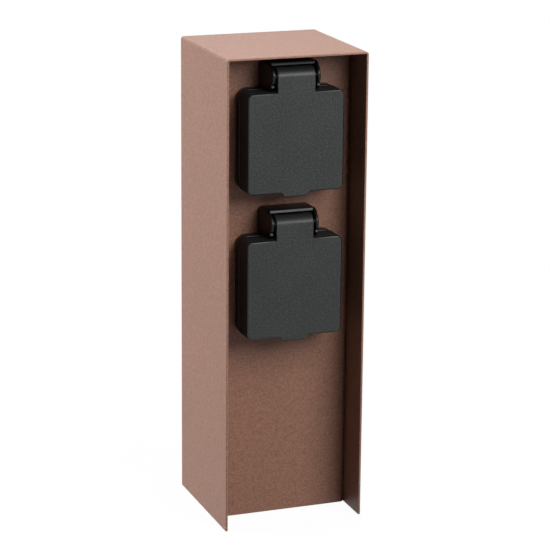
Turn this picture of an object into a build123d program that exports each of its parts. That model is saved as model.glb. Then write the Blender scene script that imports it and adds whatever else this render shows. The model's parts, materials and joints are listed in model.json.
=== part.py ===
from build123d import *
import math
import os

# A garden socket column, in millimetres. The origin is on the ground under the
# middle of the post, the sockets face -Y and +Z is up.

# Folded sheet post
post_width = 100.0
post_depth = 97.0
post_height = 328.5
hood_sheet = 1.5
hood_bend = 2.0
panel_recess = 26.7
panel_sheet = 1.5
panel_bend = 3.0
return_width = 14.0
cover_inset = 3.0
cover_sheet = 1.5
cover_gap = 0.5
cover_screw_inset = 8.5
cover_screw_low = 25.0
cover_screw_drop = 27.5

# Base plate that is screwed to the ground
base_sheet = 3.0
base_upturn = 20.0
base_bend = 4.0
ground_hole = 3.5
ground_spacing_x = 62.0
ground_spacing_y = 40.0
cable_hole = 10.5
cable_bore = 6.0
grommet_flange = 13.5
grommet_lip = 2.0
earth_stud_inset = 10.5
lug_ring = 4.2
lug_tongue = 4.0
lug_reach = 9.0

# Metric fasteners: radius of the shank, head and nut
m4 = 2.0
m4_clear = 2.15
m4_head = 3.8
m4_head_height = 2.2
m4_nut_across = 7.0
m4_nut_height = 3.2
m3 = 1.5
m3_head = 2.7
m3_head_height = 1.6
stud_length = 10.0
crown_share = 0.6

# Two sockets, one above the other
tower_top_gap = 5.5
socket_spacing = 100.6
gasket_thick = 1.0
gasket_inset = 0.6
flange_size = 70.0
flange_corner = 7.5
flange_thick = 6.0
flange_edge = 1.3
fixing_spacing = 54.0
fixing_radius = 1.75
fixing_clear = 1.9
fixing_head = 3.2
fixing_head_height = 2.3
fixing_nut_across = 6.0
fixing_nut_height = 2.8
fixing_length = 12.5

# Round body behind the flange and the collar in front of it
body_radius = 25.5
body_bore = 22.25
body_reach = 24.0
cut_out_gap = 0.5
collar_radius = 29.0
collar_height = 7.0
rim_seat_radius = 25.5
rim_seat_depth = 3.0

# Hinge tower on top of the flange
tower_half_back = 18.8
tower_half_front = 17.0
tower_rise = 53.5
tower_corner = 4.0
tower_front_corner = 0.8
tower_root = 28.0
tower_wall = 2.0
roof_reach = 15.2
roof_edge = 0.7
brow_angle = 50.0
tower_foot_back = 2.6
tower_foot = ((-2.4, 0.0), (0.0, 1.6), (0.9, 2.8), (0.3, 4.2))
back_wall_reach = 8.0
cheek_gap = 15.3
hinge_rise = 44.2
hinge_reach = 17.5
boss_radius = 6.3
pin_radius = 1.5
pin_clear = 0.05
pin_bite = 1.2

# Lid
lid_size = 68.4
lid_reach = 23.7
lid_gap = 0.3
lid_corner = 3.6
lid_edge = 1.2
lid_wall = 2.0
lid_plate = 2.2
swing_gap = 0.4
neck_width = 26.7
neck_plate = 2.4
neck_edge = 0.8
lip_top_width = 20.6
lip_tip_width = 14.2
lip_drop = 3.0
lip_thick = 4.2
seal_rib_height = 3.6
seal_rib_outer = 29.4
seal_width = 4.4
seal_gap = 0.2
seal_side_gap = 0.2

# Lid spring
spring_wire = 0.9
spring_radius = 3.1
spring_pitch = 1.5
spring_turns = 6
spring_pocket = 4.9
spring_pocket_half = 7.0
spring_leg_up = 2.9
spring_leg_seat = 0.8
spring_leg_hole = 0.55

# Plug well, in the size that all plugs of this round earthed pattern share
well_radius = 19.75
well_depth = 17.5
well_floor = 4.0
insert_gap = 0.25
rim_radius = 25.3
rim_round = 0.6
pin_spacing = 19.0
pin_hole = 2.6
key_width = 5.2
key_height = 1.75
key_end = 2.0

# Contact carrier behind the well
carrier_radius = 21.8
carrier_back = 28.0
carrier_screw = 1.5
carrier_screw_x = 12.0
carrier_screw_z = -13.5
carrier_screw_bite = 3.2

# Shutter that covers the pin holes
shutter_width = 26.4
shutter_height = 6.8
shutter_thick = 2.0
shutter_gap = 0.25
shutter_ramp = 16.0
shutter_travel = 6.0
shutter_spring_room = 10.4
shutter_wire = 0.35
shutter_coil = 0.9
shutter_coil_pitch = 1.15
shutter_coil_turns = 8
shutter_coil_end = 0.25

# Brass contacts
contact_size = 8.0
contact_lip = 1.2
contact_bore = 2.45
contact_bore_depth = 15.0
contact_slot = 0.8
contact_slot_share = 0.8
terminal_length = 10.0
terminal_bore = 1.2
terminal_bore_depth = 7.0
terminal_screw_inset = 4.0
earth_thick = 1.0
earth_width = 8.0
earth_offset = 18.7
earth_front = 9.0
earth_nose = 1.6
earth_mouth = 0.4
earth_crest = 2.5
earth_heel = 6.0
earth_terminal_low = 8.0

# Junction box behind the panel
box_width = 64.0
box_height = 46.0
box_depth = 28.0
box_share = 0.462
box_wall = 2.0
box_lid = 2.5
box_gasket = 1.0
box_boss = 3.6
box_screw_inset = 4.0
box_stud_x = 20.0
box_stud_drop = 15.0
gland_x = 15.5
gland_reach = 14.0
gland_thread = 8.0
gland_bore = 6.8
gland_inside = 4.0
gland_hex = 22.0
gland_hex_height = 5.0
gland_cage = 6.0
gland_nut_radius = 10.6
gland_nut_height = 12.0
gland_nut_bore = 6.9
gland_nut_gap = 0.3
gland_nut_crown = 2.5
gland_seal_start = 3.0
gland_seal_height = 10.0
supply_bore = 4.5
block_width = 46.0
block_height = 12.0
block_depth = 18.0
slot_half = 0.3
slot_depth = 0.8

# Single insulated leads
lead = 1.3
lead_core = 0.8
lead_spacing = 4.6
core_bite = 5.0
back_run = 31.0
upper_lane = 30.0
lane_bow = (1.2, 2.0)
lane_shares = (0.28, 0.52, 0.75)
lead_straight = 1.0
lead_rise_share = 0.53
lead_below = 20.0
earth_lead_shares = (0.65, 0.46)
bend_share = 0.45

# Worked out from the sizes above
half_width = post_width / 2
half_depth = post_depth / 2
inner_half = half_width - hood_sheet
panel_front = panel_recess - half_depth
panel_back = panel_front + panel_sheet
cover_back = half_depth - cover_inset
cover_front = cover_back - cover_sheet
return_front = cover_front - panel_sheet
panel_height = post_height - hood_bend
channel_half = inner_half - panel_sheet
base_front = panel_back + panel_bend - panel_sheet
base_back = return_front - panel_bend + panel_sheet
base_middle = (base_front + base_back) / 2
upper_socket_height = post_height - tower_top_gap - tower_rise
lower_socket_height = upper_socket_height - socket_spacing
socket_heights = {"lower": lower_socket_height, "upper": upper_socket_height}
earth_stud_x = earth_stud_inset - channel_half
flange_front = gasket_thick + flange_thick
collar_front = flange_front + collar_height
rim_back = collar_front - rim_seat_depth
well_bottom = collar_front - well_depth
floor_back = well_bottom - well_floor
lid_back = flange_front + lid_gap
lid_inside = lid_reach - lid_plate
half_lid = lid_size / 2
barrel_radius = lid_reach - hinge_reach
tower_low = half_lid + swing_gap
contact_front = floor_back - shutter_thick - 2 * shutter_gap - contact_lip
terminal_back = -carrier_back - terminal_length
earth_back = -carrier_back - earth_thick
earth_terminal_back = earth_back - contact_size
shutter_low = -shutter_height / 2 - shutter_gap
shutter_room_top = shutter_height / 2 + shutter_spring_room
box_middle = round(box_share * lower_socket_height, 1)
box_low = box_middle - box_height / 2
box_top = box_middle + box_height / 2
box_front_inside = panel_back + box_wall
box_back = panel_back + box_depth
gland_y = panel_back + gland_reach
block_back = box_front_inside + block_depth
earth_lead_x = -gland_x


# Helpers

def block(x, y, z):
    size = (x[1] - x[0], y[1] - y[0], z[1] - z[0])
    middle = ((x[0] + x[1]) / 2, (y[0] + y[1]) / 2, (z[0] + z[1]) / 2)
    return Pos(*middle) * Box(*size)


def rod(radius, start, end):
    line = Vector(*end) - Vector(*start)
    return extrude(Plane(origin=start, z_dir=line) * Circle(radius), amount=line.length)


def hex_rod(across, start, end):
    line = Vector(*end) - Vector(*start)
    plane = Plane(origin=start, x_dir=(1, 0, 0), z_dir=line)
    outline = RegularPolygon(across / 2, 6, major_radius=False)
    return extrude(plane * outline, amount=line.length)


def front_view(reach):
    # Sketch plane seen from the front, at a distance in front of the panel
    return Plane(origin=(0, -reach, 0), x_dir=(1, 0, 0), z_dir=(0, -1, 0))


def side_view():
    # Sketch plane with the distance in front of the panel as its first axis
    return Plane(origin=(0, 0, 0), x_dir=(0, -1, 0), z_dir=(-1, 0, 0))


def disc(radius, back, front, x=0.0, z=0.0):
    return rod(radius, (x, -back, z), (x, -front, z))


def corners(spacing):
    half = spacing / 2
    return [(x, z) for x in (-half, half) for z in (-half, half)]


def pan_screw(radius, head, head_height, length, seat, direction):
    # Head on the seat, shank going the other way along the direction
    seat = Vector(*seat)
    direction = Vector(*direction)
    shank = rod(radius, seat + direction * length, seat)
    cap = rod(head, seat, seat - direction * head_height)
    crown = cap.edges().sort_by(lambda edge: (edge.center() - seat).dot(direction))[0]
    return shank + fillet(crown, crown_share * head_height)


def biarc(start, start_dir, end, end_dir):
    # Two arcs that meet smoothly, between two points with given directions
    span = end - start
    both = start_dir + end_dir
    spread = 2 * (1 - start_dir.dot(end_dir))
    along = span.dot(both)
    reach = (math.sqrt(along * along + spread * span.dot(span)) - along) / spread
    first = start + start_dir * reach
    second = end - end_dir * reach
    meet = (first + second) * 0.5
    return [
        Edge.make_tangent_arc(start, start_dir, meet),
        Edge.make_tangent_arc(meet, (second - first).normalized(), end),
    ]


def coil_edges(point_at, direction_at, quarters):
    edges = []
    for step in range(quarters):
        a, b = step / 4, (step + 1) / 4
        edges += biarc(point_at(a), direction_at(a), point_at(b), direction_at(b))
    return edges


def sweep_wire(edges, radius, name, turn_length):
    path = Wire(edges)
    tube = sweep(Plane(origin=path @ 0, z_dir=path % 0) * Circle(radius), path=path)
    count = 60 * max(1, round(path.length / turn_length))
    points = [path @ (i / count) for i in range(count + 1)]
    skip = round(count * turn_length / path.length / 2)
    least = min(
        (points[i] - points[j]).length - 2 * radius
        for i in range(0, len(points) - skip)
        for j in range(i + skip, len(points))
    )
    print(name, "least gap to itself", round(least, 2))
    return tube


def ribbon(points, thick, width):
    # A strip of sheet bent in the side view, through points given as (reach, height)
    strip = None
    for (u0, z0), (u1, z1) in zip(points, points[1:]):
        length = math.hypot(u1 - u0, z1 - z0)
        turn = math.degrees(math.atan2(z1 - z0, u1 - u0))
        piece = Pos((u0 + u1) / 2, (z0 + z1) / 2) * Rot(0, 0, turn) * Rectangle(length, thick)
        strip = piece if strip is None else strip + piece
    for u, z in points[1:-1]:
        strip += Pos(u, z) * Circle(thick / 2)
    return extrude(side_view() * strip, amount=width / 2, both=True)


def lead_path(name, points):
    # Straight runs joined by arcs as large as the runs allow
    radii = []
    for a, b, c in zip(points, points[1:], points[2:]):
        run_in, run_out = Vector(*b) - Vector(*a), Vector(*c) - Vector(*b)
        half_turn = math.radians(run_in.get_angle(run_out)) / 2
        radii.append(bend_share * min(run_in.length, run_out.length) / math.tan(half_turn))
    print(name, "bend radii", [round(radius, 1) for radius in radii])
    return FilletPolyline(*points, radius=radii)


def lead_tube(name, start, points):
    # Insulation that runs straight from the start and then along the points, with a bare
    # core that enters a terminal at each end
    wire = Wire(lead_path(name, points).edges())
    tube = sweep(Plane(origin=wire @ 0, z_dir=wire % 0) * Circle(lead), path=wire)
    share = tube.volume / (math.pi * lead ** 2 * wire.length)
    print(name, "length", round(wire.length, 1), "volume share", round(share, 4))
    start = Vector(*start)
    tube += rod(lead, start, wire @ 0)
    tube += rod(lead_core, start, start - (wire % 0) * core_bite)
    return tube + rod(lead_core, wire @ 1, wire @ 1 + (wire % 1) * core_bite)


# Sheet metal

def post_hood():
    outer = Pos(0, post_height / 2) * Rectangle(post_width, post_height)
    outer = fillet(outer.vertices().group_by(Axis.Y)[-1], hood_bend)
    inner_height = post_height - hood_sheet
    inner = Pos(0, inner_height / 2) * Rectangle(2 * inner_half, inner_height)
    inner = fillet(inner.vertices().group_by(Axis.Y)[-1], hood_bend - hood_sheet)
    return extrude(front_view(-half_depth) * (outer - inner), amount=post_depth)


def front_panel():
    depth = cover_front - panel_front
    middle = (cover_front + panel_front) / 2
    outer = Pos(0, middle) * RectangleRounded(2 * inner_half, depth, panel_bend)
    inner = Pos(0, middle) * RectangleRounded(
        2 * channel_half, depth - 2 * panel_sheet, panel_bend - panel_sheet
    )
    channel = extrude(outer - inner, amount=panel_height)
    window = inner_half - return_width
    channel -= block((-window, window), (return_front - 1, cover_front + 1), (-1, post_height))
    reach = panel_sheet + 1
    for height in socket_heights.values():
        channel -= Pos(0, panel_front, height) * disc(body_radius + cut_out_gap, -reach, 1)
        for x, z in corners(fixing_spacing):
            channel -= Pos(0, panel_front, height) * disc(fixing_clear, -reach, 1, x, z)
    for x, z in cover_screw_places():
        channel -= rod(m4_clear, (x, return_front - 1, z), (x, cover_front + 1, z))
    return channel


def cover_screw_places():
    across = inner_half - cover_screw_inset
    low, high = cover_screw_low, post_height - cover_screw_drop
    return [(x, z) for x in (-across, across) for z in (low, (low + high) / 2, high)]


def rear_cover():
    half = inner_half - cover_gap
    top = post_height - hood_sheet - cover_gap
    cover = block((-half, half), (cover_front, cover_back), (cover_gap, top))
    for x, z in cover_screw_places():
        cover -= rod(m4_clear, (x, cover_front - 1, z), (x, cover_back + 1, z))
    return cover


def rear_cover_screws():
    length = cover_sheet + panel_sheet + m4_nut_height
    return [
        pan_screw(m4, m4_head, m4_head_height, length, (x, cover_back, z), (0, -1, 0))
        for x, z in cover_screw_places()
    ]


def rear_cover_nuts():
    nuts = []
    for x, z in cover_screw_places():
        near, far = (x, return_front, z), (x, return_front - m4_nut_height, z)
        nuts.append(hex_rod(m4_nut_across, near, far) - rod(m4, near, far))
    return nuts


def ground_holes():
    half_x, half_y = ground_spacing_x / 2, ground_spacing_y / 2
    return [(x, base_middle + y) for x in (-half_x, half_x) for y in (-half_y, half_y)]


def base_plate():
    outer = Pos(0, base_upturn / 2) * Rectangle(2 * channel_half, base_upturn)
    outer = fillet(outer.vertices().group_by(Axis.Y)[0], base_bend)
    inner_width = 2 * (channel_half - base_sheet)
    inner = Pos(0, base_sheet + base_upturn / 2) * Rectangle(inner_width, base_upturn)
    inner = fillet(inner.vertices().group_by(Axis.Y)[0], base_bend - base_sheet)
    tray = extrude(front_view(-base_back) * (outer - inner), amount=base_back - base_front)
    for x, y in ground_holes():
        tray -= rod(ground_hole, (x, y, -1), (x, y, base_sheet + 1))
    return tray - rod(cable_hole, (0, base_middle, -1), (0, base_middle, base_sheet + 1))


def cable_grommet():
    top = base_sheet + grommet_lip
    bush = rod(cable_hole, (0, base_middle, 0), (0, base_middle, base_sheet))
    lip = rod(grommet_flange, (0, base_middle, base_sheet), (0, base_middle, top))
    lip = fillet(lip.edges().group_by(Axis.Z)[-1], grommet_lip * 0.5)
    return bush + lip - rod(cable_bore, (0, base_middle, -1), (0, base_middle, top + 1))


# Studs and earthing

def stud_places():
    height = box_middle - box_stud_drop
    return [
        ((-box_stud_x, panel_back, height), (0, 1, 0), box_wall),
        ((box_stud_x, panel_back, height), (0, 1, 0), box_wall),
        ((earth_stud_x, base_middle, base_sheet), (0, 0, 1), earth_thick),
    ]


def weld_studs():
    return [
        rod(m4, foot, Vector(*foot) + Vector(*direction) * stud_length)
        for foot, direction, grip in stud_places()
    ]


def stud_nuts():
    nuts = []
    for foot, direction, grip in stud_places():
        near = Vector(*foot) + Vector(*direction) * grip
        far = near + Vector(*direction) * m4_nut_height
        nuts.append(hex_rod(m4_nut_across, near, far) - rod(m4, near, far))
    return nuts


def earth_lug():
    # Ring under the nut, and a crimped barrel standing up to take the lead
    foot = (earth_stud_x, base_middle)
    low, high = base_sheet, base_sheet + earth_thick
    tail = earth_stud_x + lug_reach
    ring = rod(lug_ring, (*foot, low), (*foot, high))
    half = lug_tongue / 2
    tongue = block((earth_stud_x, tail), (base_middle - half, base_middle + half), (low, high))
    barrel = rod(half, (tail, base_middle, low), (tail, base_middle, high + core_bite))
    lug = ring + tongue + barrel - rod(m4, (*foot, low - 1), (*foot, high + 1))
    return lug - rod(lead_core, (tail, base_middle, high), (tail, base_middle, high + core_bite))


def earth_lead():
    tail = earth_stud_x + lug_reach
    start = (earth_lead_x, gland_y, box_middle - block_height / 2)
    upper, lower = [base_sheet + share * (box_low - base_sheet) for share in earth_lead_shares]
    return lead_tube("earth lead", start, [
        (earth_lead_x, gland_y, box_low),
        (earth_lead_x, gland_y, upper),
        (tail, base_middle, lower),
        (tail, base_middle, base_sheet + earth_thick + core_bite),
    ])


# Junction box

def box_screw_places():
    half_x = box_width / 2 - box_screw_inset
    half_z = box_height / 2 - box_screw_inset
    return [(x, box_middle + z) for x in (-half_x, half_x) for z in (-half_z, half_z)]


def junction_box():
    half = box_width / 2
    shell = block((-half, half), (panel_back, box_back), (box_low, box_top))
    shell -= block(
        (box_wall - half, half - box_wall),
        (box_front_inside, box_back + 1),
        (box_low + box_wall, box_top - box_wall),
    )
    shell = fillet(shell.edges().filter_by(Axis.Y).group_by(Axis.X)[0], box_wall)
    shell = fillet(shell.edges().filter_by(Axis.Y).group_by(Axis.X)[-1], box_wall)
    for x, z in box_screw_places():
        shell += rod(box_boss, (x, box_front_inside, z), (x, box_back, z))
        shell -= rod(m3, (x, box_front_inside + box_wall, z), (x, box_back + 1, z))
    for x in (-gland_x, gland_x):
        shell -= rod(gland_thread, (x, gland_y, box_top - 2 * box_wall), (x, gland_y, box_top + 1))
    shell -= rod(gland_thread, (0, gland_y, box_low - 1), (0, gland_y, box_low + box_wall))
    shell -= rod(lead, (earth_lead_x, gland_y, box_low - 1), (earth_lead_x, gland_y, box_middle))
    for x in (-box_stud_x, box_stud_x):
        height = box_middle - box_stud_drop
        shell -= rod(m4, (x, panel_back - 1, height), (x, box_front_inside + 1, height))
    return shell


def junction_gasket():
    half = box_width / 2
    ring = block((-half, half), (box_back, box_back + box_gasket), (box_low, box_top))
    ring = fillet(ring.edges().filter_by(Axis.Y), box_wall)
    inside = box_wall + 2 * box_screw_inset
    ring -= block(
        (inside - half, half - inside),
        (box_back - 1, box_back + box_gasket + 1),
        (box_low + inside, box_top - inside),
    )
    for x, z in box_screw_places():
        ring -= rod(m3, (x, box_back - 1, z), (x, box_back + box_gasket + 1, z))
    return ring


def junction_lid():
    half = box_width / 2
    near = box_back + box_gasket
    lid = block((-half, half), (near, near + box_lid), (box_low, box_top))
    lid = fillet(lid.edges().filter_by(Axis.Y), box_wall)
    lid = fillet(lid.faces().sort_by(Axis.Y)[-1].edges(), box_wall / 2)
    for x, z in box_screw_places():
        lid -= rod(m3, (x, near - 1, z), (x, near + box_lid + 1, z))
    return lid


def junction_lid_screws():
    seat = box_back + box_gasket + box_lid
    length = box_lid + box_gasket + box_depth / 2
    return [
        pan_screw(m3, m3_head, m3_head_height, length, (x, seat, z), (0, -1, 0))
        for x, z in box_screw_places()
    ]


def gland_places():
    # Wall face outside the box and the way that the gland points
    return [(-gland_x, box_top, 1), (gland_x, box_top, 1), (0, box_low, -1)]


def gland_rod(x, wall, way, radius, start, end):
    return rod(radius, (x, gland_y, wall + way * start), (x, gland_y, wall + way * end))


def gland_bodies():
    bodies = []
    for x, wall, way in gland_places():
        top = gland_hex_height + gland_cage
        body = gland_rod(x, wall, way, gland_thread, -gland_inside, top)
        hexagon = hex_rod(
            gland_hex, (x, gland_y, wall), (x, gland_y, wall + way * gland_hex_height)
        )
        bodies.append(body + hexagon - gland_rod(x, wall, way, gland_bore, -gland_inside, top))
    return bodies


def gland_nuts():
    nuts = []
    for x, wall, way in gland_places():
        low = gland_hex_height + gland_nut_gap
        high = low + gland_nut_height
        shell = gland_rod(x, wall, way, gland_nut_radius, low, high)
        ends = shell.edges().sort_by(lambda edge: way * edge.center().Z)
        shell = fillet(ends[-1], gland_nut_crown)
        shell -= gland_rod(x, wall, way, gland_thread, low, gland_hex_height + gland_cage)
        nuts.append(shell - gland_rod(x, wall, way, gland_nut_bore, low, high))
    return nuts


def lead_offsets():
    return {"live": -lead_spacing, "earth": 0.0, "neutral": lead_spacing}


def gland_seals():
    seals = []
    for x, wall, way in gland_places()[:2]:
        end = gland_seal_start + gland_seal_height
        seal = gland_rod(x, wall, way, gland_bore, gland_seal_start, end)
        for offset in lead_offsets().values():
            seal -= gland_rod(x + offset, wall, way, lead, gland_seal_start, end)
        seals.append(seal)
    return seals


def supply_gland_seal():
    x, wall, way = gland_places()[2]
    end = gland_seal_start + gland_seal_height
    seal = gland_rod(x, wall, way, gland_bore, gland_seal_start, end)
    return seal - gland_rod(x, wall, way, supply_bore, gland_seal_start, end)


def block_ways():
    return [x + offset for x in (-gland_x, gland_x) for offset in lead_offsets().values()]


def terminal_block():
    half = block_width / 2
    low, high = box_middle - block_height / 2, box_middle + block_height / 2
    body = block((-half, half), (box_front_inside, block_back), (low, high))
    for x in block_ways():
        body -= rod(lead_core, (x, gland_y, high - core_bite), (x, gland_y, high + 1))
        body -= rod(m3, (x, gland_y, box_middle), (x, block_back + 1, box_middle))
    return body - rod(lead_core, (earth_lead_x, gland_y, low - 1), (earth_lead_x, gland_y, low + core_bite))


def terminal_screws():
    screws = []
    for x in block_ways():
        end = (x, block_back, box_middle)
        screw = rod(m3, (x, gland_y + 1, box_middle), end)
        slot = block((x - slot_half, x + slot_half), (block_back - slot_depth, block_back + 1),
                     (box_middle - m3, box_middle + m3))
        screws.append(screw - slot)
    return screws


# Socket pieces, modelled about the middle of a socket on the panel's front face

def gasket():
    side = flange_size - 2 * gasket_inset
    outline = RectangleRounded(side, side, flange_corner - gasket_inset)
    outline += tower_outline(tower_half_back, tower_corner, gasket_inset)
    pad = extrude(front_view(0) * outline, amount=gasket_thick)
    pad -= disc(body_radius + cut_out_gap, -1, gasket_thick + 1)
    for x, z in corners(fixing_spacing):
        pad -= disc(fixing_clear, -1, gasket_thick + 1, x, z)
    return pad


def tower_outline(half, corner, inset=0.0):
    top = tower_rise - inset
    outline = Pos(0, (tower_root + top) / 2) * Rectangle(2 * (half - inset), top - tower_root)
    return fillet(outline.vertices().group_by(Axis.Y)[-1], corner)


def hinge_tower():
    back = front_view(gasket_thick) * tower_outline(tower_half_back, tower_corner)
    front = front_view(lid_reach) * tower_outline(tower_half_front, tower_front_corner)
    tower = loft([back, front], ruled=True)
    top_middle = (tower_low + tower_rise) / 2
    side = Pos(flange_front / 2, (tower_root + tower_rise) / 2) * Rectangle(
        flange_front, tower_rise - tower_root
    )
    side += Pos(roof_reach / 2, top_middle) * Rectangle(roof_reach, tower_rise - tower_low)
    side += Pos(hinge_reach, hinge_rise) * Circle(boss_radius)
    brow_z = hinge_rise + boss_radius * math.sin(math.radians(brow_angle))
    brow_u = hinge_reach + boss_radius * math.cos(math.radians(brow_angle))
    side += Polygon(
        (roof_reach - 1, tower_rise), (roof_reach, tower_rise),
        (brow_u, brow_z), (hinge_reach, hinge_rise), (roof_reach - 1, hinge_rise),
        align=None,
    )
    foot = hinge_reach + barrel_radius - tower_foot_back
    toes = [(foot + reach, tower_low + rise) for reach, rise in tower_foot]
    side += Polygon(
        (roof_reach - 1, tower_low), *toes, (roof_reach - 1, hinge_rise), align=None
    )
    tower &= extrude(side_view() * side, amount=flange_size, both=True)
    hollow_top = tower_rise - tower_wall
    tower -= block(
        (-cheek_gap, cheek_gap), (-2 * lid_reach, -back_wall_reach), (tower_root, hollow_top)
    )
    brow = [
        edge for edge in tower.edges().filter_by(Axis.X)
        if abs(edge.center().Y + roof_reach) < 0.01 and edge.center().Z > hinge_rise
    ]
    return fillet(brow, roof_edge)


def housing():
    flange = extrude(
        front_view(gasket_thick) * RectangleRounded(flange_size, flange_size, flange_corner),
        amount=flange_thick,
    )
    flange = fillet(flange.edges().group_by(Axis.Y)[0], flange_edge)
    shell = flange + hinge_tower()
    shell += disc(collar_radius, flange_front - 1, collar_front)
    shell += disc(body_radius, -body_reach, gasket_thick + 1)
    shell -= disc(body_bore, -body_reach - 1, collar_front + 1)
    shell -= disc(rim_seat_radius, rim_back, collar_front + 1)
    for x, z in corners(fixing_spacing):
        shell -= disc(fixing_clear, 0, flange_front + 1, x, z)
        shell -= disc(fixing_head, flange_front - fixing_head_height, flange_front + 1, x, z)
    end = tower_half_back + 1
    shell -= rod(pin_radius, (pin_start(), -hinge_reach, hinge_rise), (end, -hinge_reach, hinge_rise))
    leg_end = back_wall_reach - spring_leg_seat
    lean = (hinge_reach - leg_end) * spring_pitch / (2 * math.pi * spring_radius)
    leg_x, leg_z = -spring_half() - lean, hinge_rise - spring_radius
    return shell - disc(spring_leg_hole, leg_end, back_wall_reach + 1, leg_x, leg_z)


def pin_start():
    return -(cheek_gap + pin_bite)


def hinge_pin():
    end = -pin_start()
    return rod(pin_radius, (pin_start(), -hinge_reach, hinge_rise), (end, -hinge_reach, hinge_rise))


def lid_neck():
    # A plate that runs up from the lid and rolls round the pin
    half = neck_width / 2
    profile = Pos(hinge_reach, hinge_rise) * Circle(barrel_radius)
    low = half_lid - lid_wall
    profile += Pos(lid_reach - neck_plate / 2, (low + hinge_rise) / 2) * Rectangle(
        neck_plate, hinge_rise - low
    )
    neck = extrude(side_view() * profile, amount=half, both=True)
    ends = [
        edge for edge in neck.edges()
        if abs(abs(edge.center().X) - half) < 0.01 and edge.center().Y < -hinge_reach
    ]
    return fillet(ends, neck_edge)


def lid():
    outline = RectangleRounded(lid_size, lid_size, lid_corner)
    shell = extrude(front_view(lid_back) * outline, amount=lid_reach - lid_back)
    shell = fillet(shell.edges().group_by(Axis.Y)[0], lid_edge)
    hollow = RectangleRounded(lid_size - 2 * lid_wall, lid_size - 2 * lid_wall, lid_corner - lid_wall)
    shell -= extrude(front_view(lid_back) * hollow, amount=lid_inside - lid_back)
    lip = Polygon(
        (-lip_top_width / 2, 1 - half_lid), (-lip_tip_width / 2, -half_lid - lip_drop),
        (lip_tip_width / 2, -half_lid - lip_drop), (lip_top_width / 2, 1 - half_lid),
        align=None,
    )
    tab = extrude(front_view(lid_reach - lip_thick) * lip, amount=lip_thick)
    tab = fillet(tab.edges().filter_by(Axis.X).group_by(Axis.Z)[0], lid_edge)
    shell += tab + lid_neck()
    rib = disc(seal_rib_outer, lid_inside - seal_rib_height, lid_inside + 1)
    rib -= disc(seal_rib_outer - seal_width, lid_inside - seal_rib_height, lid_inside + 1)
    shell += rib
    return shell - lid_hinge_room()


def lid_hinge_room():
    # Pin bore, and a pocket open behind and below for the spring
    half = spring_pocket_half
    bore_half = neck_width / 2 + 1
    room = rod(pin_radius + pin_clear, (-bore_half, -hinge_reach, hinge_rise),
               (bore_half, -hinge_reach, hinge_rise))
    room += rod(spring_pocket, (-half, -hinge_reach, hinge_rise), (half, -hinge_reach, hinge_rise))
    behind = hinge_reach - barrel_radius - 1
    room += block(
        (-half, half), (-hinge_reach, -behind), (hinge_rise - spring_pocket, hinge_rise + barrel_radius + 1)
    )
    below = lid_reach - neck_plate
    room += block((-half, half), (-below, -behind), (half_lid, hinge_rise))
    return room


def lid_seal():
    back = collar_front + seal_gap
    front = lid_inside - seal_rib_height
    ring = disc(seal_rib_outer - seal_side_gap, back, front)
    return ring - disc(seal_rib_outer - seal_width + seal_side_gap, back - 1, front + 1)


def spring_half():
    return (spring_turns + 0.25) * spring_pitch / 2


def lid_spring():
    # A leg in the tower's back wall, the coil round the pin, and a leg up against the lid
    half = spring_half()
    climb = spring_pitch / (2 * math.pi * spring_radius)

    def point_at(turns):
        angle = 2 * math.pi * turns - math.pi / 2
        reach = hinge_reach + spring_radius * math.cos(angle)
        rise = hinge_rise + spring_radius * math.sin(angle)
        return Vector(spring_pitch * turns - half, -reach, rise)

    def direction_at(turns):
        angle = 2 * math.pi * turns - math.pi / 2
        return Vector(climb, math.sin(angle), math.cos(angle)).normalized()

    quarters = 4 * spring_turns + 1
    coil = coil_edges(point_at, direction_at, quarters)
    first, last = point_at(0), point_at(quarters / 4)
    leg_run = hinge_reach - back_wall_reach + spring_leg_seat
    leg_in = Edge.make_line(first - direction_at(0) * leg_run, first)
    leg_out = Edge.make_line(last, last + direction_at(quarters / 4) * spring_leg_up)
    turn_length = 2 * math.pi * spring_radius
    return sweep_wire([leg_in] + coil + [leg_out], spring_wire / 2, "lid spring", turn_length)


def insert():
    # The well that a plug goes into, with its rim in the collar
    body_back = floor_back
    cup = disc(rim_radius, rim_back, collar_front)
    cup = fillet(cup.edges().group_by(Axis.Y)[0], rim_round)
    cup += disc(body_bore - insert_gap, body_back, rim_back)
    cup -= disc(well_radius, well_bottom, collar_front + 1)
    for side in (-1, 1):
        inner, outer = well_radius - key_height, well_radius + 1
        across = (inner, outer) if side > 0 else (-outer, -inner)
        cup += block(across, (-(collar_front - key_end), -well_bottom), (-key_width / 2, key_width / 2))
        cup -= disc(pin_hole, body_back - 1, well_bottom + 1, side * pin_spacing / 2)
        cup -= disc(carrier_screw, body_back - 1, body_back + carrier_screw_bite,
                    side * carrier_screw_x, carrier_screw_z)
        cup -= earth_slot(side, body_back - 1, well_bottom + 1)
    return cup


def earth_slot(side, back, front):
    half = earth_thick / 2
    inner, outer = side * (earth_offset - half), side * (earth_offset + half)
    return block((-earth_width / 2, earth_width / 2), (-front, -back), (min(inner, outer), max(inner, outer)))


def carrier():
    plug = disc(carrier_radius, -carrier_back, floor_back)
    half = shutter_width / 2 + shutter_gap
    room_back = floor_back - shutter_thick - 2 * shutter_gap
    plug -= block((-half, half), (-floor_back - 1, -room_back), (shutter_low, shutter_height / 2
                  + shutter_travel + shutter_gap))
    spring_half_width = shutter_coil + shutter_wire
    plug -= block((-spring_half_width, spring_half_width), (-floor_back - 1, -room_back),
                  (0, shutter_room_top))
    size = contact_size / 2
    for side in (-1, 1):
        middle = side * pin_spacing / 2
        plug -= disc(pin_hole, contact_front - 1, floor_back + 1, middle)
        plug -= block((middle - size, middle + size), (-contact_front, carrier_back + 1), (-size, size))
        plug -= disc(carrier_screw, -carrier_back - 1, floor_back + 1,
                     side * carrier_screw_x, carrier_screw_z)
        plug -= earth_slot(side, -carrier_back - 1, floor_back + 1)
    return plug


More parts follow.
